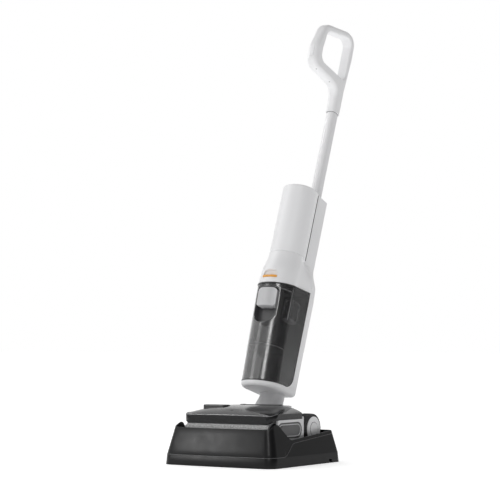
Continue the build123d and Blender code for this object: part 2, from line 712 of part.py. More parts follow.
# ---------------------------------------------------------------- inside the body
def suction_motor():
    can = Pos(0, -66, 372) * Cylinder(33, 30)
    can = fillet(can.edges().filter_by(GeomType.CIRCLE), 3)
    return LEANING * (can - Pos(0, -66, 355) * Cylinder(3 + RUNNING, 10))


def fan_rotor():
    rotor = Pos(0, -66, 346.5) * Cylinder(26, 3) + Pos(0, -66, 353) * Cylinder(3, 13)
    for i in range(9):
        rotor += Pos(0, -66, 350) * Rot(0, 0, 40 * i) * Pos(16, 0, 0) * Rot(0, 0, 25) * Box(16, 1.2, 6)
    return LEANING * rotor


def battery_pack():
    cells = [Pos(x, 6.5, z) * Cylinder(9.1, 65) for x in (-28.5, -9.5, 9.5, 28.5) for z in (124, 192)]
    return LEANING * Compound(cells)


def control_board():
    board = box((-30, 30), (14, 15.6), (232, 322))
    for x, z in ((-16, 250), (8, 270), (-8, 300)):
        board += box((x, x + 12), (9, 14), (z, z + 14))
    return LEANING * board


def water_pump():
    body = box((-24, 2), (-6, 7), (236, 262))
    return LEANING * (body + Pos(-11, 1, 268) * Cylinder(4, 12))


# ---------------------------------------------------------------- tube and handle
def handle_tube():
    bottom = SPINE_TOP - 40
    outer = extrude(Pos(0, 0, bottom) * RectangleRounded(2 * TUBE_X, 2 * TUBE_Y, TUBE_CORNER), amount=TUBE_TOP - bottom)
    inner = extrude(Pos(0, 0, bottom - 1) * RectangleRounded(2 * TUBE_X - 3, 2 * TUBE_Y - 3, TUBE_CORNER - 1.5),
                    amount=TUBE_TOP - bottom + 2)
    return LEANING * (outer - inner)


def loop_outer(inset=0.0):
    """Side view of the handle loop and its sleeve."""
    i = inset
    return rounded_outline([
        (16 - i, 800, 0), (16 - i, 905, 60), (23.5 - i, 1000, 60), (22 - i, 1069 - i, 30 - i),
        (-20, 1070 - i, 40), (-126 + i, 1034 - i, 42 - i), (-149 + i, 960, 60), (-147 + i, 901 + i, 26 - i),
        (-60, 903 + i, 60), (-18.5 + i, 898 + i, 24), (-15.5 + i, 800, 0),
    ])


def loop_inner(inset=0.0):
    """Side view of the hand opening."""
    i = inset
    return rounded_outline([
        (5.5 - i, 935 + i, 15 - i), (5.5 - i, 1052 - i, 18 - i), (-20, 1051 - i, 30),
        (-114 + i, 1017 - i, 24 - i), (-121 + i, 960, 60), (-120 + i, 930 + i, 19 - i),
    ])


def handle_solid():
    """Loop with soft outer edges and a firmer edge round the hand opening."""
    body = across(loop_outer(), HANDLE_HALF)
    outline = [edge for face in body.faces().filter_by(Axis.X) for edge in face.edges()]
    body = fillet([edge for edge in outline if edge.center().Z > 801], HANDLE_ROUNDING)
    loop = body - across(loop_inner(), HANDLE_HALF + 1)
    rims = [wire for face in loop.faces().filter_by(Axis.X) for wire in face.inner_wires()]
    loop = fillet([edge for wire in rims for edge in wire.edges()], 4.5)
    return loop & box((-30, 30), (-200, 200), (SLEEVE_BOTTOM, 1100))


def handle_half(side):
    """One half of the clam-shell handle, hollow for the switch board and cable."""
    half = handle_solid() & box((0, side * 30), (-200, 200), (800, 1100))
    hollow = across(loop_outer(3.2), HANDLE_HALF - 6) - across(loop_inner(-3.2), HANDLE_HALF)
    sleeve = extrude(Pos(0, 0, 820) * RectangleRounded(2 * TUBE_X, 2 * TUBE_Y, TUBE_CORNER), amount=TUBE_TOP - 820)
    half -= hollow & box((-30, 30), (-200, 200), (TUBE_TOP + 4, 1100))
    half -= sleeve
    for window in (power_shape(BUTTON_GAP), mode_shape(BUTTON_GAP), clean_shape(BUTTON_GAP)):
        half -= window
    return LEANING * half


def mode_shape(grow):
    """Long button on the outer face of the front bar."""
    face = SlotOverall(34 + 2 * grow, 9 + 2 * grow, rotation=90)
    return forward(Pos(0, 944) * face, 141 - grow, 170)


def top_button_frame(distance):
    """Frame on the sloping top bar, z outward."""
    rise = 36 / 106
    height = 1070 - (distance - 20) * rise
    return Pos(0, -distance, height) * Rot(math.degrees(math.atan(rise)), 0, 0)


def power_shape(grow):
    return top_button_frame(86) * Pos(0, 0, 2) * Cylinder(6 + grow, 11 + 2 * grow)


def clean_shape(grow):
    return top_button_frame(54) * Pos(0, 0, 2) * Cylinder(5 + grow, 11 + 2 * grow)


def button_skin(proud):
    """Handle surface raised by a button's travel, used to shape the button tops."""
    return across(loop_outer(-proud), HANDLE_HALF)


def mode_button():
    return LEANING * (mode_shape(0) & button_skin(0.9))


def power_button():
    return LEANING * (power_shape(0) & button_skin(0.9))


def self_clean_button():
    return LEANING * (clean_shape(0) & button_skin(0.9))


def status_display():
    """Round-cornered display window on the back of the spine, facing the user."""
    face = Pos(0, 540) * RectangleRounded(30, 46, 7)
    return LEANING * forward(face, -SPINE_BACK - 1.2, -SPINE_BACK - 0.02)


# ---------------------------------------------------------------- writing
def sided(make):
    """Left and right copies of one sub-part."""
    return {"left": make(-1), "right": make(1)}


def all_parts():
    parts = {}
    single = [
        dock_skirt, dock_shroud, dock_base_plate, dock_feet, dock_tray, charging_contacts,
        dock_power_inlet, head_chassis, side_caps, roller_core, roller_fleece, roller_pins,
        roller_motor, scraper, spray_bar, roller_cover, cover_latch, rear_covers, wheel_axles,
        pivot_pins, neck_shell, swivel_ring, lower_base, front_housing, release_button, spine_shell,
        clean_tank, clean_tank_valve, tank_shell, tank_lid, tank_seal, grip_recess, tank_latch,
        strainer_bucket, intake_pipe, filter_frame, filter_cartridge, level_float,
        float_rod, suction_motor, fan_rotor, battery_pack, control_board, water_pump, handle_tube,
        mode_button, power_button, self_clean_button, status_display,
    ]
    for make in single:
        parts[make.__name__] = make()
    for make in (side_plate, wheel_tyre, wheel_hub, wheel_cap, handle_half):
        for side, shape in sided(make).items():
            parts[make.__name__ + "_" + side] = shape
    return parts


def main():
    os.makedirs("parts", exist_ok=True)
    for name, shape in all_parts().items():
        solids = Compound(shape) if isinstance(shape, list) else shape
        export_step(solids, f"parts/{name}.step")


main()
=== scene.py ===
"""Looks of the wet dry floor scrubber: materials, fine detail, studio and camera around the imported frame."""

import json
import math
import random

import bpy
from mathutils import Matrix, Vector


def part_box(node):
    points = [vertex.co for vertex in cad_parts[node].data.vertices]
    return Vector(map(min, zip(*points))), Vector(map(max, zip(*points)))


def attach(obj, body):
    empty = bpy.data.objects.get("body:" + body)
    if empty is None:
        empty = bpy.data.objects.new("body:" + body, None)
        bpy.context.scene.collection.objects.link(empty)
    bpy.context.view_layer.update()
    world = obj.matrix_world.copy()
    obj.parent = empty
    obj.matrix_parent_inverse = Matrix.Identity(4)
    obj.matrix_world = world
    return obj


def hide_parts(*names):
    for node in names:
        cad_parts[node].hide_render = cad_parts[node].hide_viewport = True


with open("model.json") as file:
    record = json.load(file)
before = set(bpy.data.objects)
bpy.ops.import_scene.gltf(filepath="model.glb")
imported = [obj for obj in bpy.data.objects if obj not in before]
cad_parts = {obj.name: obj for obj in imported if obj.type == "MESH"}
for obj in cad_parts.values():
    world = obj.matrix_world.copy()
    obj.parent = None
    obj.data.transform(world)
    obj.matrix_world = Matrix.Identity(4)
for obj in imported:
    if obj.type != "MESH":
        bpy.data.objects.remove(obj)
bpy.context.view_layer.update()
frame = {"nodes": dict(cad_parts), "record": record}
nodes = frame["nodes"]

LEAN = math.radians(21.0)           # the body leans back by this about X
BODY_ORIGIN = Vector((0.0, 0.0756, 0.1))
LEANING = Matrix.Translation(BODY_ORIGIN) @ Matrix.Rotation(-LEAN, 4, "X")

# Places in millimetres, as the CAD has them.
DOCK_HALF, DOCK_FRONT, DOCK_REAR, DOCK_BOW = 154.0, 162.0, 152.0, 6.0
DOCK_FRONT_CORNER, DOCK_REAR_CORNER = 24.0, 18.0
SEAM_LOW = 24.0                     # height of the dock's seam along its front
SEAM_INSET = 2.1                    # seam's distance inside the dock's foot at that height
SHROUD_TAPER = 17.9 / 75            # how far the shroud leans in for each mm of height
NOSE_RADIUS = 50.0                  # the body's round front
TANK_SLOPE = 0.155                  # rise of the dirty tank's base and rim towards the rear
TANK_SKIN = 49.4                    # radius and half width of the tank's dark edges, where shade is painted
CLEAN_TANK_Y = -70.0                # axis of the clean tank in the body's frame
COLLAR_U, COLLAR_RADIUS = 835.8, 9.3


# ---------------------------------------------------------------- materials
class Shader:
    """A node material with short ways to add the textures that plastics, fleece and metal need."""

    def __init__(self, name, colour, roughness, **constants):
        self.material = bpy.data.materials.new(name)
        self.material.use_nodes = True
        self.tree = self.material.node_tree
        self.bsdf = self.tree.nodes["Principled BSDF"]
        self.colour = (*colour, 1.0)
        self.bsdf.inputs["Base Color"].default_value = self.colour
        self.bsdf.inputs["Roughness"].default_value = roughness
        for socket, value in constants.items():
            self.bsdf.inputs[socket.replace("_", " ")].default_value = value
        self.coordinates = self.tree.nodes.new("ShaderNodeTexCoord").outputs["Object"]

    def link(self, source, target):
        self.tree.links.new(source, target)

    def stretched(self, scale):
        """Object coordinates scaled by three factors."""
        mapping = self.tree.nodes.new("ShaderNodeMapping")
        mapping.inputs["Scale"].default_value = scale
        self.link(self.coordinates, mapping.inputs["Vector"])
        return mapping.outputs["Vector"]

    def noise(self, scale, detail=2.0, stretch=None):
        texture = self.tree.nodes.new("ShaderNodeTexNoise")
        texture.inputs["Scale"].default_value = scale
        texture.inputs["Detail"].default_value = detail
        self.link(self.stretched(stretch) if stretch else self.coordinates, texture.inputs["Vector"])
        return texture.outputs["Fac"]

    def ramp(self, source, low, high):
        """source from 0..1 mapped onto low..high."""
        spread = self.tree.nodes.new("ShaderNodeMapRange")
        spread.inputs["From Min"].default_value = 0.3
        spread.inputs["From Max"].default_value = 0.7
        spread.inputs["To Min"].default_value = low
        spread.inputs["To Max"].default_value = high
        self.link(source, spread.inputs["Value"])
        return spread.outputs["Result"]

    def vary_colour(self, source, amount):
        """Colour moves by amount around its base as source varies."""
        mix = self.tree.nodes.new("ShaderNodeMix")
        mix.data_type = "RGBA"
        dark = [max(0.0, c * (1 - amount)) for c in self.colour[:3]]
        light = [min(1.0, c * (1 + amount)) for c in self.colour[:3]]
        mix.inputs["A"].default_value = (*dark, 1.0)
        mix.inputs["B"].default_value = (*light, 1.0)
        self.link(source, mix.inputs["Factor"])
        self.link(mix.outputs["Result"], self.bsdf.inputs["Base Color"])

    def vary_roughness(self, source, low, high):
        self.link(self.ramp(source, low, high), self.bsdf.inputs["Roughness"])

    def bump(self, source, strength, distance):
        bump = self.tree.nodes.new("ShaderNodeBump")
        bump.inputs["Strength"].default_value = strength
        bump.inputs["Distance"].default_value = distance
        self.link(source, bump.inputs["Height"])
        self.link(bump.outputs["Normal"], self.bsdf.inputs["Normal"])


def moulded(name, colour, roughness, grain=2200.0, bump=0.05, **constants):
    """Moulded plastic: faint cloudy tone, uneven sheen and a fine spark-eroded grain."""
    shader = Shader(name, colour, roughness, **constants)
    cloud = shader.noise(9.0, 3.0)
    shader.vary_colour(cloud, 0.025)
    shader.vary_roughness(shader.noise(26.0, 3.0), roughness * 0.88, roughness * 1.12)
    shader.bump(shader.noise(grain, 1.0), bump, 0.0001)
    return shader.material


def smoked(name, colour, roughness, cover, gloss=1.0, coat=0.7, coat_roughness=0.16):
    """Smoke-tinted clear plastic: a glossy film that covers part of what lies behind it."""
    shader = Shader(name, colour, roughness, Alpha=cover, Specular_IOR_Level=gloss, Coat_Weight=coat,
                    Coat_Roughness=coat_roughness)
    shader.vary_colour(shader.noise(30.0, 2.0), 0.12)
    shader.vary_roughness(shader.noise(40.0, 2.0), roughness * 0.7, roughness * 1.3)
    shader.bump(shader.noise(14.0, 0.0), 0.02, 0.0004)
    return shader.material


def fleece_fabric():
    """Short microfibre pile, grey with lighter tips."""
    shader = Shader("fleece", (0.54, 0.54, 0.54), 0.95, Sheen_Weight=0.4, Sheen_Roughness=0.5)
    shader.vary_colour(shader.ramp(shader.noise(420.0, 4.0), 0.0, 1.0), 0.45)
    shader.bump(shader.noise(900.0, 3.0), 0.8, 0.0015)
    return shader.material


def rubber_material():
    shader = Shader("rubber", (0.016, 0.016, 0.017), 0.62)
    shader.vary_colour(shader.noise(60.0, 3.0), 0.2)
    shader.vary_roughness(shader.noise(120.0, 2.0), 0.55, 0.72)
    shader.bump(shader.noise(1500.0, 1.0), 0.15, 0.0002)
    return shader.material


def metal(name, colour, roughness, stretch):
    """Brushed metal: long fine scratches along one axis."""
    shader = Shader(name, colour, roughness, Metallic=1.0)
    scratches = shader.noise(60.0, 2.0, stretch)
    shader.vary_roughness(scratches, roughness * 0.8, roughness * 1.25)
    shader.bump(scratches, 0.08, 0.0001)
    return shader.material


def pleated_filter():
    shader = Shader("filter_media", (0.05, 0.05, 0.05), 0.9)
    shader.vary_colour(shader.noise(700.0, 2.0), 0.4)
    shader.bump(shader.noise(900.0, 2.0), 0.5, 0.0004)
    return shader.material


MATERIALS = {
    "white_plastic": moulded("white_plastic", (0.84, 0.84, 0.85), 0.46, Specular_IOR_Level=0.3),
    "light_grey_plastic": moulded("light_grey_plastic", (0.52, 0.52, 0.53), 0.42),
    "neck_plastic": moulded("neck_plastic", (0.62, 0.62, 0.63), 0.42),
    "dock_plastic": moulded("dock_plastic", (0.004, 0.004, 0.0045), 0.34, bump=0.10,
                            Specular_IOR_Level=0.22),
    "black_plastic": moulded("black_plastic", (0.012, 0.012, 0.013), 0.36, bump=0.1),
    "dark_grey_plastic": moulded("dark_grey_plastic", (0.075, 0.075, 0.078), 0.4),
    "smoked_clear": smoked("smoked_clear", (0.012, 0.012, 0.013), 0.24, 0.46),
    # Paler grey than the smoked cover: the edge bead in this finish paints the highlight along the cover's
    # edge.
    "cover_highlight_edge": moulded("cover_highlight_edge", (0.16, 0.16, 0.165), 0.16, bump=0.02, Coat_Weight=0.8,
                          Coat_Roughness=0.06),
    "smoked_inner": smoked("smoked_inner", (0.03, 0.03, 0.032), 0.2, 0.12, 0.5),
    "smoked_dark": smoked("smoked_dark", (0.006, 0.006, 0.007), 0.18, 0.93, 0.2, 0.25, 0.08),
    "orange_plastic": moulded("orange_plastic", (0.80, 0.36, 0.035), 0.4),
    "fleece": fleece_fabric(),
    "rubber": rubber_material(),
    "tyre": rubber_material(),
    "tube_metal": moulded("tube_metal", (0.78, 0.78, 0.79), 0.40, bump=0.08),
    "steel": metal("steel", (0.56, 0.56, 0.57), 0.3, (1.0, 40.0, 40.0)),
    "brass": metal("brass", (0.75, 0.56, 0.25), 0.25, (30.0, 30.0, 1.0)),
    "display": moulded("display", (0.006, 0.006, 0.007), 0.08, bump=0.0),
    "filter_media": pleated_filter(),
    "board": moulded("board", (0.02, 0.14, 0.05), 0.4),
    "cell_wrap": moulded("cell_wrap", (0.05, 0.16, 0.4), 0.35),
}


def paint_frame():
    """Every CAD node gets its slot's material, but for a few whose look differs within the slot; the side
    plates are painted paler than their slot to make up for the shade on their side.
    """
    slots = {row["node"]: row["material_slot"] for row in frame["record"]["subparts"]}
    # The side plates take the paler neck grey: painted light that lifts plates standing in the dim light on the
    # machine's sides.
    special = {"roller_cover": "smoked_dark", "strainer_bucket": "smoked_inner",
               "filter_frame": "white_plastic", "side_plate_left": "neck_plastic",
               "side_plate_right": "neck_plastic"}
    for name, node in nodes.items():
        node.data.materials.clear()
        node.data.materials.append(MATERIALS[special.get(name, slots[name])])
        for polygon in node.data.polygons:
            polygon.material_index = 0


# ---------------------------------------------------------------- fine detail
def metres(*values):
    """Millimetres to a vector in metres."""
    return Vector(value * 0.001 for value in values)


def on_body(x, y, z):
    """A point given in the leaning body's own frame, in millimetres."""
    return LEANING @ metres(x, y, z)


def add_piece(name, mesh, body, finish):
    """A new piece, smooth shaded, that rides on a body and takes the material named by finish."""
    piece = bpy.data.objects.new(name, mesh)
    bpy.context.scene.collection.objects.link(piece)
    mesh.materials.append(MATERIALS[finish])
    mesh.shade_smooth()
    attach(piece, body)
    return piece


def mesh_from(name, points, faces):
    mesh = bpy.data.meshes.new(name)
    mesh.from_pydata(points, [], faces)
    mesh.update()
    return mesh


def ring_faces(rings, around, closed_end=False):
    """Quads that join rings of points; the last ring joins the first if closed_end."""
    faces = []
    for i in range(rings if closed_end else rings - 1):
        for j in range(around):
            a, b = i * around + j, i * around + (j + 1) % around
            c, d = ((i + 1) % rings) * around + (j + 1) % around, ((i + 1) % rings) * around + j
            faces.append((a, b, c, d))
    return faces


def bead(path, radius, sides=8, lift=None):
    """Points and faces of a round bead along a path, closed at both ends."""
    points = []
    last = len(path) - 1
    for i, place in enumerate(path):
        along = (path[min(i + 1, last)] - path[max(i - 1, 0)]).normalized()
        side = along.cross(lift or Vector((0, 0, 1))).normalized()
        up = side.cross(along)
        size = radius * (0.35 if i in (0, last) else 1.0)
        for j in range(sides):
            turn = 2 * math.pi * j / sides
            points.append(place + side * (size * math.cos(turn)) + up * (size * math.sin(turn)))
    faces = ring_faces(last + 1, sides)
    faces.append(tuple(range(sides)))
    faces.append(tuple(range(last * sides + sides - 1, last * sides - 1, -1)))
    return points, faces


def join_shapes(shapes):
    """Several (points, faces) shapes as one."""
    points, faces = [], []
    for more_points, more_faces in shapes:
        offset = len(points)
        points.extend(more_points)
        faces.extend(tuple(index + offset for index in face) for face in more_faces)
    return points, faces


def fleece_roller():
    """The roller's pile: tufts of uneven height round the core, matted into faint spiral rows."""
    low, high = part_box("roller_fleece")
    centre_y, centre_z = (low[1] + high[1]) / 2, (low[2] + high[2]) / 2
    radius = (high[2] - low[2]) / 2
    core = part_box("roller_core")
    inner = (core[1][2] - core[0][2]) / 2
    around, rows = 220, 330
    tuft, row_depth = 0.0009, 0.00035
    end_round, end_rows = 0.0022, 5
    chance = random.Random(7)
    points = []
    for i in range(rows):
        x = low[0] + (high[0] - low[0]) * i / (rows - 1)
        at_end = min(i, rows - 1 - i)
        for j in range(around):
            turn = 2 * math.pi * j / around
            spiral = 0.5 + 0.5 * math.sin(3 * turn + 900 * x)
            height = radius - tuft * chance.random() - row_depth * spiral
            height -= end_round * max(0.0, 1 - at_end / end_rows)
            points.append((x, centre_y + height * math.cos(turn), centre_z + height * math.sin(turn)))
    for x in (high[0], low[0]):
        for j in range(around):
            turn = 2 * math.pi * j / around
            points.append((x, centre_y + inner * math.cos(turn), centre_z + inner * math.sin(turn)))
    mesh = mesh_from("fleece_pile", points, ring_faces(rows + 2, around, True))
    pile = add_piece("fleece_pile", mesh, "roller", "fleece")
    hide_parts("roller_fleece")


def tread_blocks(side):
    """Low cross ribs round a wheel's rubber tyre."""
    low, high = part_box("wheel_tyre_" + side)
    centre_y, centre_z = (low[1] + high[1]) / 2, (low[2] + high[2]) / 2
    radius = (high[2] - low[2]) / 2 - 0.0001
    count, steps, margin, bend = 48, 8, 0.004, 0.05
    ribs = []
    for i in range(count):
        turn = 2 * math.pi * i / count
        path = []
        for k in range(steps + 1):
            x = low[0] + margin + (high[0] - low[0] - 2 * margin) * k / steps
            skew = turn + bend * math.sin(math.pi * k / steps)
            path.append(Vector((x, centre_y + radius * math.cos(skew), centre_z + radius * math.sin(skew))))
        ribs.append(bead(path, 0.00055, 6, Vector((0, math.cos(turn), math.sin(turn)))))
    add_piece("tread_" + side, mesh_from("tread_" + side, *join_shapes(ribs)), "wheel_" + side, "tyre")


def nose_centre(u):
    """Centre of the dirty tank's round nose at height u; it moves forward as the tank widens upwards."""
    return NOSE_RADIUS - (116 + 17.5 * (u - 50) / 290)


def latch_grips():
    """Fine ridges across the pad that frees the dirty tank."""
    count, pitch, lowest = 7, 4.9, 256.0
    half_angle, steps, skin = 19, 24, 49.98
    ridges = []
    for k in range(count):
        u = lowest + pitch * k
        path = []
        for i in range(steps + 1):
            turn = math.radians(-half_angle + 2 * half_angle * i / steps)
            path.append(on_body(skin * math.sin(turn), nose_centre(u) - skin * math.cos(turn), u))
        ridges.append(bead(path, 0.00045, 8))
    add_piece("latch_grips", mesh_from("latch_grips", *join_shapes(ridges)), "tank_latch", "light_grey_plastic")


def seam_height(y):
    """Height in mm of the seam between the dock's skirt and shroud, at depth y.

    It is level at the front, climbs to the shoulder and rises gently to the rear, with curved corners.
    """
    level, foot, shoulder = (-105, SEAM_LOW), (-94, SEAM_LOW), (-54, 53)
    climb_start, climb_end, gentle = (-85.1, 30.4), (-59.4, 49), (-47.3, 53.5)
    steep, shallow = 0.725, 0.0799
    corners = [(level, foot, climb_start), (climb_end, shoulder, gentle)]
    for start, corner, end in corners:
        if start[0] <= y <= end[0]:
            t = (y - start[0]) / (end[0] - start[0])
            return start[1] * (1 - t) ** 2 + 2 * corner[1] * t * (1 - t) + end[1] * t ** 2
    if y < level[0]:
        return SEAM_LOW
    if y < climb_end[0]:
        return SEAM_LOW + steep * (y - foot[0])
    return shoulder[1] + shallow * (y - shoulder[0])


def dock_plan(t, inset):
    """Point on the right half of the dock's outline.

    t runs from 0 at the front's middle, over 1 and 2 round the front corner, 3 at the rear corner, to 4
    at the rear's middle.
    """
    side, rear, front = DOCK_HALF - inset, DOCK_REAR - inset, DOCK_FRONT - inset
    front_round, rear_round = DOCK_FRONT_CORNER - 0.4 * inset, DOCK_REAR_CORNER - 0.4 * inset
    reach = (side ** 2 + DOCK_BOW ** 2) / (2 * DOCK_BOW)
    hub_y = -front + reach
    turn_y = hub_y - math.sqrt((reach - front_round) ** 2 - (side - front_round) ** 2)
    limit = math.atan2(turn_y - hub_y, side - front_round)
    if t < 1:
        angle = -math.pi / 2 + (limit + math.pi / 2) * t
        return reach * math.cos(angle), hub_y + reach * math.sin(angle)
    if t < 2:
        angle = limit * (2 - t)
        return side - front_round + front_round * math.cos(angle), turn_y + front_round * math.sin(angle)
    if t < 3:
        return side, turn_y + (rear - rear_round - turn_y) * (t - 2)
    angle = math.pi / 2 * min(1.0, (t - 3) * 2)
    x = (side - rear_round) * min(1.0, max(0.0, 2 - (t - 3) * 2)) + rear_round * math.cos(angle)
    return x, rear - rear_round + rear_round * math.sin(angle)


def seam_point(t):
    """Point of the dock's seam for t from -4 to 4, going round from the rear's left to its right."""
    inset = SEAM_INSET
    for _ in range(3):
        x, y = dock_plan(abs(t), inset)
        height = seam_height(y)
        inset = SEAM_INSET + (height - SEAM_LOW) * SHROUD_TAPER
    gap_middle = 0.25
    return metres(math.copysign(x, t) if t else x, y, height + gap_middle)


def dock_seam_bead():
    """Thin bead in the seam between the dock's skirt and shroud, paler than the dock: a painted highlight along
    the seam.
    """
    steps = 480
    path = [seam_point(-4 + 8 * i / steps) for i in range(steps + 1)]
    add_piece("dock_seam_highlight", mesh_from("dock_seam_highlight", *bead(path, 0.00055, 8)), "dock", "dark_grey_plastic")


def clean_tank_seam_shade():
    """Dark rubber strips on the spine along both sides of the clean tank: painted shade in the seam between
    tank and spine.
    """
    profile = ((36, 45.5), (36, 46.6), (44, 47.0), (56, 46.9), (56, 45.5))
    bottom, length, steps, sides = 402.0, 176.0, 40, len(profile)
    shapes = []
    for side in (-1, 1):
        points = []
        for i in range(steps + 1):
            u = bottom + length * i / steps
            for angle, radius in profile:
                turn = math.radians(angle)
                y = radius * math.sin(turn) + CLEAN_TANK_Y
                points.append(on_body(side * radius * math.cos(turn), y, u))
        faces = ring_faces(steps + 1, sides)
        faces.append(tuple(range(sides)))
        faces.append(tuple(range(steps * sides + sides - 1, steps * sides - 1, -1)))
        shapes.append((points, faces))
    add_piece("clean_tank_seam_shade", mesh_from("clean_tank_seam_shade", *join_shapes(shapes)), "body", "rubber")


def circle_path(centre, first, second, radius, steps=72):
    """Closed circle of points about centre, in the plane of two unit directions."""
    path = []
    for i in range(steps):
        turn = 2 * math.pi * i / steps
        path.append(centre + first * (radius * math.cos(turn)) + second * (radius * math.sin(turn)))
    return path


def closed_bead(path, radius, lift, sides=8):
    """Points and faces of a round bead along a closed path."""
    points = []
    count = len(path)
    for i, place in enumerate(path):
        along = (path[(i + 1) % count] - path[i - 1]).normalized()
        side = along.cross(lift).normalized()
        for j in range(sides):
            turn = 2 * math.pi * j / sides
            points.append(place + side * (radius * math.cos(turn)) + lift * (radius * math.sin(turn)))
    return points, ring_faces(count, sides, True)


def wheel_cap_rings(side, sign):
    """Painted shade of the parting groove round a wheel cap's raised centre, as two fine dark beads side by
    side.
    """
    low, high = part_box("wheel_cap_" + side)
    centre_y, centre_z = (low[1] + high[1]) / 2, (low[2] + high[2]) / 2
    below_face = 0.0012
    face = (high[0] if sign > 0 else low[0]) - sign * below_face
    out = Vector((sign, 0, 0))
    rings = []
    for radius in (0.0163, 0.0168):
        path = circle_path(Vector((face, centre_y, centre_z)), Vector((0, 1, 0)), Vector((0, 0, 1)), radius)
        rings.append(closed_bead(path, 0.0003, out))
    name = "wheel_groove_shade_" + side
    add_piece(name, mesh_from(name, *join_shapes(rings)), "wheel_" + side, "dark_grey_plastic")


def stadium_path(centre_y, centre_z, half_length, radius, x, steps=24):
    """Closed stadium outline in the YZ plane, in millimetres."""
    path = []
    for end in (1, -1):
        for i in range(steps + 1):
            turn = -math.pi / 2 + math.pi * i / steps
            path.append(metres(x, centre_y + end * (half_length - radius + radius * math.cos(turn)),
                               centre_z + end * radius * math.sin(turn)))
    return path


def side_plate_rings():
    """Pale and dark rings nested round the oval inlay of each side plate; the dark ring is painted shade in the
    groove round the inlay.
    """
    centre_y, centre_z = -40, 82
    for side, sign in (("left", -1), ("right", 1)):
        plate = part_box("side_plate_" + side)
        face = (plate[1][0] if sign > 0 else plate[0][0]) * 1000
        lift = Vector((sign, 0, 0))
        for name, half_length, radius, depth, thickness, finish in (
                ("inlay_trim_", 47.5, 13.6, 0.7, 0.0013, "light_grey_plastic"),
                ("inlay_groove_shade_", 52.2, 18.2, 0.2, 0.0005, "black_plastic")):
            path = stadium_path(centre_y, centre_z, half_length, radius, face - sign * depth)
            ring = closed_bead(path, thickness, lift)
            add_piece(name + side, mesh_from(name + side, *ring), "floor_head", finish)


def dome_shape(centre, direction, radius, height, rings=6, around=24):
    """Points and faces of a low round-topped plug."""
    first = direction.orthogonal().normalized()
    second = direction.cross(first)
    points = []
    for i in range(rings):
        rise = math.pi / 2 * i / rings
        for j in range(around):
            turn = 2 * math.pi * j / around
            flat = (first * math.cos(turn) + second * math.sin(turn)) * (radius * math.cos(rise))
            points.append(centre + flat + direction * (height * math.sin(rise)))
    faces = ring_faces(rings, around)
    points.append(centre + direction * height)
    top = len(points) - 1
    last = (rings - 1) * around
    faces.extend((last + j, last + (j + 1) % around, top) for j in range(around))
    return points, faces


def handle_plugs():
    """Screw plugs under the handle's lower arm, and the dark ring where the tube enters the handle."""
    plugs = []
    down = on_body(0, 0, -1000) - on_body(0, 0, 0)
    for y, u in ((-122, 902.2), (-52, 902.6)):
        plugs.append(dome_shape(on_body(5.5, y, u), down.normalized(), 0.0021, 0.0008))
    add_piece("handle_plugs", mesh_from("handle_plugs", *join_shapes(plugs)), "body", "dark_grey_plastic")
    corner_x, corner_y, steps = 3, 5.5, 8
    path = []
    for end_x, end_y, start in ((1, 1, 0), (-1, 1, 90), (-1, -1, 180), (1, -1, 270)):
        for i in range(steps + 1):
            turn = math.radians(start + 90 * i / steps)
            x = end_x * corner_x + COLLAR_RADIUS * math.cos(turn)
            y = end_y * corner_y + COLLAR_RADIUS * math.sin(turn)
            path.append(on_body(x, y, COLLAR_U))
    ring = closed_bead(path, 0.0007, (-down).normalized())
    add_piece("tube_collar", mesh_from("tube_collar", *ring), "body", "dark_grey_plastic")


def cable_grommet():
    """Pale rubber grommet in the notch at the dock's side."""
    shape = dome_shape(metres(145.5, 100, 3.6), Vector((1, 0, 0)), 0.0034, 0.0022)
    add_piece("cable_grommet", mesh_from("cable_grommet", *shape), "dock", "white_plastic")


def tank_nose_edge(u_axis, front):
    """Quarter turn of the tank's sloping edge round its nose; u_axis is the edge's height at y = 0."""
    steps = 16
    edge = []
    for i in range(1, steps + 1):
        turn = math.pi / 2 * i / steps
        y = NOSE_RADIUS - front - TANK_SKIN * math.sin(turn)
        edge.append((TANK_SKIN * math.cos(turn), y, u_axis + TANK_SLOPE * y))
    return edge


def tank_lower_shade_path(u_axis):
    """Right-hand half of the dirty tank's lower edge: rear edge, rounded corner, base and nose."""
    side, top, bottom, rear_y = 49.2, 318, 108, -12.0
    corner, corner_u, corner_drop = 27.5, 103, 3.5
    rear_steps, corner_steps = 11, 12
    half = []
    for i in range(rear_steps + 1):
        half.append((side, rear_y, top - (top - bottom) * i / rear_steps))
    for i in range(1, corner_steps + 1):
        turn = math.pi / 2 * i / corner_steps
        y = rear_y - corner + corner * math.cos(turn)
        half.append((side, y, corner_u - corner * math.sin(turn) - corner_drop * i / corner_steps))
    for y in (-50, -60, -66):
        half.append((side + 0.1, y, u_axis + TANK_SLOPE * y))
    return half + tank_nose_edge(u_axis, 116.6)


def mirrored(half):
    """A half path in the body frame and its mirror image, as one path of world points."""
    right = [on_body(*place) for place in half]
    left = [on_body(-place[0], place[1], place[2]) for place in reversed(half[:-1])]
    return right + left


def tank_edge_shade_beads():
    """Dark beads along the dirty tank's edges, round its base and rear, and round its rim: painted shade at the
    edges of the smoked tank.
    """
    base = bead(mirrored(tank_lower_shade_path(80.3)), 0.0013, 8, LEANING.to_3x3() @ Vector((1, 0, 0)))
    rim_u, rear_y, length, steps = 325.2, -14, 62, 7
    rim = []
    for i in range(steps + 1):
        y = rear_y - length * i / steps
        rim.append((TANK_SKIN, y, rim_u + TANK_SLOPE * y))
    top = bead(mirrored(rim + tank_nose_edge(rim_u, 132.6)), 0.0013, 8)
    add_piece("tank_edge_shade_beads", mesh_from("tank_edge_shade_beads", *join_shapes([base, top])), "dirty_tank", "black_plastic")


def tank_arc(u, radius, start, end, steps=14):
    """Points inside the dirty tank's round nose at height u, from angle start to end off the front."""
    centre = nose_centre(u)
    places = []
    for i in range(steps + 1):
        turn = math.radians(start + (end - start) * i / steps)
        places.append((radius * math.sin(turn), centre - radius * math.cos(turn), u))
    return places


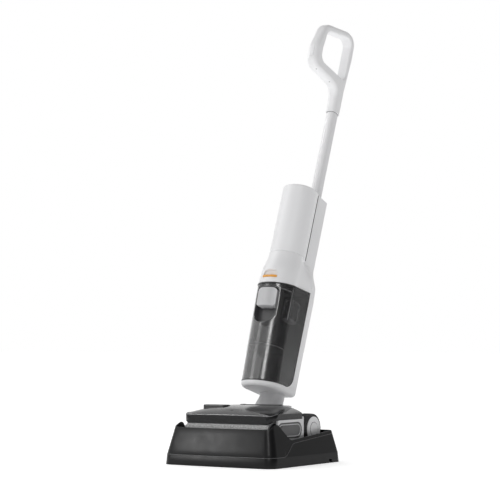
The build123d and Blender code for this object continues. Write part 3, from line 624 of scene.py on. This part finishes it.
def tank_rails():
    """Pale rails moulded inside the dirty tank: one over the strainer's foot, two that carry the filter."""
    bar_u, bar_radius = 296, 46.4
    post_top, post_pitch = 318, 8
    foot = tank_arc(152.5, 46.2, -88, 88, 40)
    bar = tank_arc(bar_u, bar_radius, 38, 84)
    corner = tank_arc(bar_u, bar_radius, 86, 88, 1)[0]
    post = [(corner[0], corner[1], post_top - post_pitch * i) for i in range(13)]
    beads = [bead([on_body(*place) for place in foot], 0.0009, 8)]
    beads += [bead([on_body(*place) for place in path], 0.0015, 8, LEANING.to_3x3() @ Vector((1, 0, 0.3)))
              for path in (bar, post)]
    add_piece("tank_rails", mesh_from("tank_rails", *join_shapes(beads)), "dirty_tank", "white_plastic")


def on_cover(x, y, lift):
    """Point on the roller cover's top at (x, y) mm, raised by lift mm, or None beside the cover."""
    above = 400
    hit, place, _, _ = nodes["roller_cover"].ray_cast(metres(x, y, above), Vector((0, 0, -1)))
    return place + metres(0, 0, lift) if hit else None


def cover_recess_shade():
    """Dark shallow disc on the front of the roller cover, beside the latch: painted shade of a finger recess.
    """
    rings, around = 7, 40
    centre_x, centre_y, half_width, half_depth, squareness = -6, -83, 29, 11, 0.7
    points = []
    for i in range(rings):
        size = (i + 1) / rings
        lift = 0.5 - 0.4 * (1 - size ** 4) if i < rings - 1 else 0.05
        for j in range(around):
            turn = 2 * math.pi * j / around
            across = math.copysign(abs(math.cos(turn)) ** squareness, math.cos(turn))
            x = centre_x + half_width * size * across
            points.append(on_cover(x, centre_y + half_depth * size * math.sin(turn), lift))
    faces = ring_faces(rings, around)
    faces.append(tuple(range(around)))
    add_piece("cover_recess_shade", mesh_from("cover_recess_shade", points, faces), "roller_cover", "black_plastic")


def cover_gasket():
    """Dark rubber lip round the cover's opening for the neck."""
    side, corner, corner_y, straight, steps = 52.0, 31, 32, 14, 12
    path = []
    for i in range(steps + 1):
        path.append((-side, corner_y + straight - straight * i / steps))
    for i in range(1, steps + 1):
        turn = math.pi + math.pi / 2 * i / steps
        path.append((corner - side + corner * math.cos(turn), corner_y + corner * math.sin(turn)))
    front = corner_y - corner
    path += [(-14, front), (-7, front), (0, front)]
    path += [(-x, y) for x, y in reversed(path[:-1])]
    places = [place for place in (on_cover(x, y, 0.3) for x, y in path) if place is not None]
    add_piece("cover_gasket", mesh_from("cover_gasket", *bead(places, 0.0011, 8)), "roller_cover", "rubber")


def cover_highlight_edge():
    """Glossy bead round the roller cover's front and along its sides, coloured paler grey than the cover: a
    painted highlight on its edge.
    """
    side, corner, corner_y, steps = 124.5, 12, -97, 8
    corners = [(-side, 4), (-side, -92)]
    for i in range(1, steps + 1):
        turn = math.pi + math.pi / 2 * i / steps
        corners.append((corner - side + corner * math.cos(turn), corner_y + corner * math.sin(turn)))
    corners += [(x, corner_y - corner) for x in range(-96, 1, 12)]
    path = corners + [(-x, y) for x, y in reversed(corners[:-1])]
    places = [place for place in (on_cover(x, y, 0.1) for x, y in path) if place is not None]
    add_piece("cover_highlight_edge", mesh_from("cover_highlight_edge", *bead(places, 0.0008, 8)), "roller_cover", "cover_highlight_edge")


def soften_edges():
    """Small rounds on the casings' hard edges, which catch the light along the seams."""
    widths = {"dock_skirt": 0.5, "dock_shroud": 0.5, "tank_shell": 0.4, "front_housing": 0.4,
              "lower_base": 0.4, "spine_shell": 0.4, "roller_cover": 0.5, "cover_latch": 0.6,
              "side_plate_left": 0.4, "side_plate_right": 0.4, "rear_covers": 0.4, "tank_latch": 0.5,
              "grip_recess": 0.4}
    for name, width in widths.items():
        weld = nodes[name].modifiers.new("weld", "WELD")
        weld.merge_threshold = 0.00001
        bevel = nodes[name].modifiers.new("edges", "BEVEL")
        bevel.width = width * 0.001
        bevel.segments = 2
        bevel.limit_method = "ANGLE"
        bevel.angle_limit = math.radians(40)


# ---------------------------------------------------------------- studio
def make_floor():
    mesh = bpy.data.meshes.new("floor")
    reach = 40.0
    corners = [(-reach, -reach, 0), (reach, -reach, 0), (reach, reach, 0), (-reach, reach, 0)]
    mesh.from_pydata(corners, [], [(0, 1, 2, 3)])
    floor = bpy.data.objects.new("floor", mesh)
    bpy.context.scene.collection.objects.link(floor)
    shader = Shader("floor", (0.90, 0.90, 0.90), 0.9, Specular_IOR_Level=0.1, Emission_Strength=0.5)
    shader.bsdf.inputs["Emission Color"].default_value = (1.0, 1.0, 1.0, 1.0)
    shader.vary_colour(shader.noise(3.0, 2.0), 0.005)
    mesh.materials.append(shader.material)


def area_light(name, place, target, size, power, glints_only=False):
    """Softbox turned to a target; one for glints only shows in reflections and adds no flat light."""
    light = bpy.data.lights.new(name, "AREA")
    light.shape = "RECTANGLE"
    light.size, light.size_y = size
    light.energy = power
    lamp = bpy.data.objects.new(name, light)
    lamp.location = place
    lamp.rotation_euler = (Vector(target) - Vector(place)).to_track_quat("-Z", "Y").to_euler()
    lamp.visible_diffuse = not glints_only
    bpy.context.scene.collection.objects.link(lamp)


def make_world():
    """White studio, brightest behind the machine and dimmer on its front and right."""
    world = bpy.data.worlds.new("studio")
    world.use_nodes = True
    tree = world.node_tree
    direction = tree.nodes.new("ShaderNodeTexCoord").outputs["Generated"]
    fades = (((-0.55, 0.83, 0.0), -0.1, 0.75, 0.62, 1.0), ((0.93, 0.30, 0.05), 0.05, 0.95, 1.0, 0.28))
    strengths = []
    for axis, start, end, low, high in fades:
        along = tree.nodes.new("ShaderNodeVectorMath")
        along.operation = "DOT_PRODUCT"
        along.inputs[1].default_value = axis
        tree.links.new(direction, along.inputs[0])
        spread = tree.nodes.new("ShaderNodeMapRange")
        spread.interpolation_type = "SMOOTHSTEP"
        for socket, value in zip(("From Min", "From Max", "To Min", "To Max"), (start, end, low, high)):
            spread.inputs[socket].default_value = value
        tree.links.new(along.outputs["Value"], spread.inputs["Value"])
        strengths.append(spread.outputs["Result"])
    both = tree.nodes.new("ShaderNodeMath")
    both.operation = "MULTIPLY"
    tree.links.new(strengths[0], both.inputs[0])
    tree.links.new(strengths[1], both.inputs[1])
    tree.links.new(both.outputs["Value"], tree.nodes["Background"].inputs["Strength"])
    tree.nodes["Background"].inputs["Color"].default_value = (1.0, 1.0, 1.0, 1.0)
    bpy.context.scene.world = world


def make_studio():
    make_world()
    tank, cover = (0, 0.05, 0.25), (0, -0.12, 0.12)
    area_light("left", (-1.07, -1.34, 1.56), tank, (0.6, 1.4), 5.0)
    area_light("strip", (1.0, -1.41, 1.56), tank, (0.55, 1.2), 18, glints_only=True)
    area_light("top", (-1.15, -0.15, 1.75), cover, (0.5, 0.7), 14, glints_only=True)
    area_light("low", (-1.80, -2.35, 0.95), (0, -0.1, 0.08), (0.45, 0.8), 22, glints_only=True)
    bpy.context.scene.view_settings.view_transform = "Standard"


def make_camera():
    """Low, far camera on the machine's front right, tipped up a little."""
    azimuth, pitch = math.radians(33.39), math.radians(3.31)
    camera = bpy.data.objects.new("camera", bpy.data.cameras.new("camera"))
    camera.location = (2.1395, -3.2608, 0.282)
    level = Vector((-math.sin(azimuth), math.cos(azimuth), 0))
    heading = level * math.cos(pitch) + Vector((0, 0, math.sin(pitch)))
    camera.rotation_euler = heading.to_track_quat("-Z", "Y").to_euler()
    camera.data.sensor_width = 36.0
    camera.data.lens = 117.2
    camera.data.clip_end = 200.0
    bpy.context.scene.collection.objects.link(camera)
    bpy.context.scene.camera = camera


paint_frame()
soften_edges()
fleece_roller()
for tyre_side in ("left", "right"):
    tread_blocks(tyre_side)
latch_grips()
dock_seam_bead()
clean_tank_seam_shade()
for wheel_side, wheel_sign in (("left", -1), ("right", 1)):
    wheel_cap_rings(wheel_side, wheel_sign)
side_plate_rings()
handle_plugs()
cable_grommet()
tank_edge_shade_beads()
tank_rails()
cover_recess_shade()
cover_gasket()
cover_highlight_edge()
make_floor()
make_studio()
make_camera()
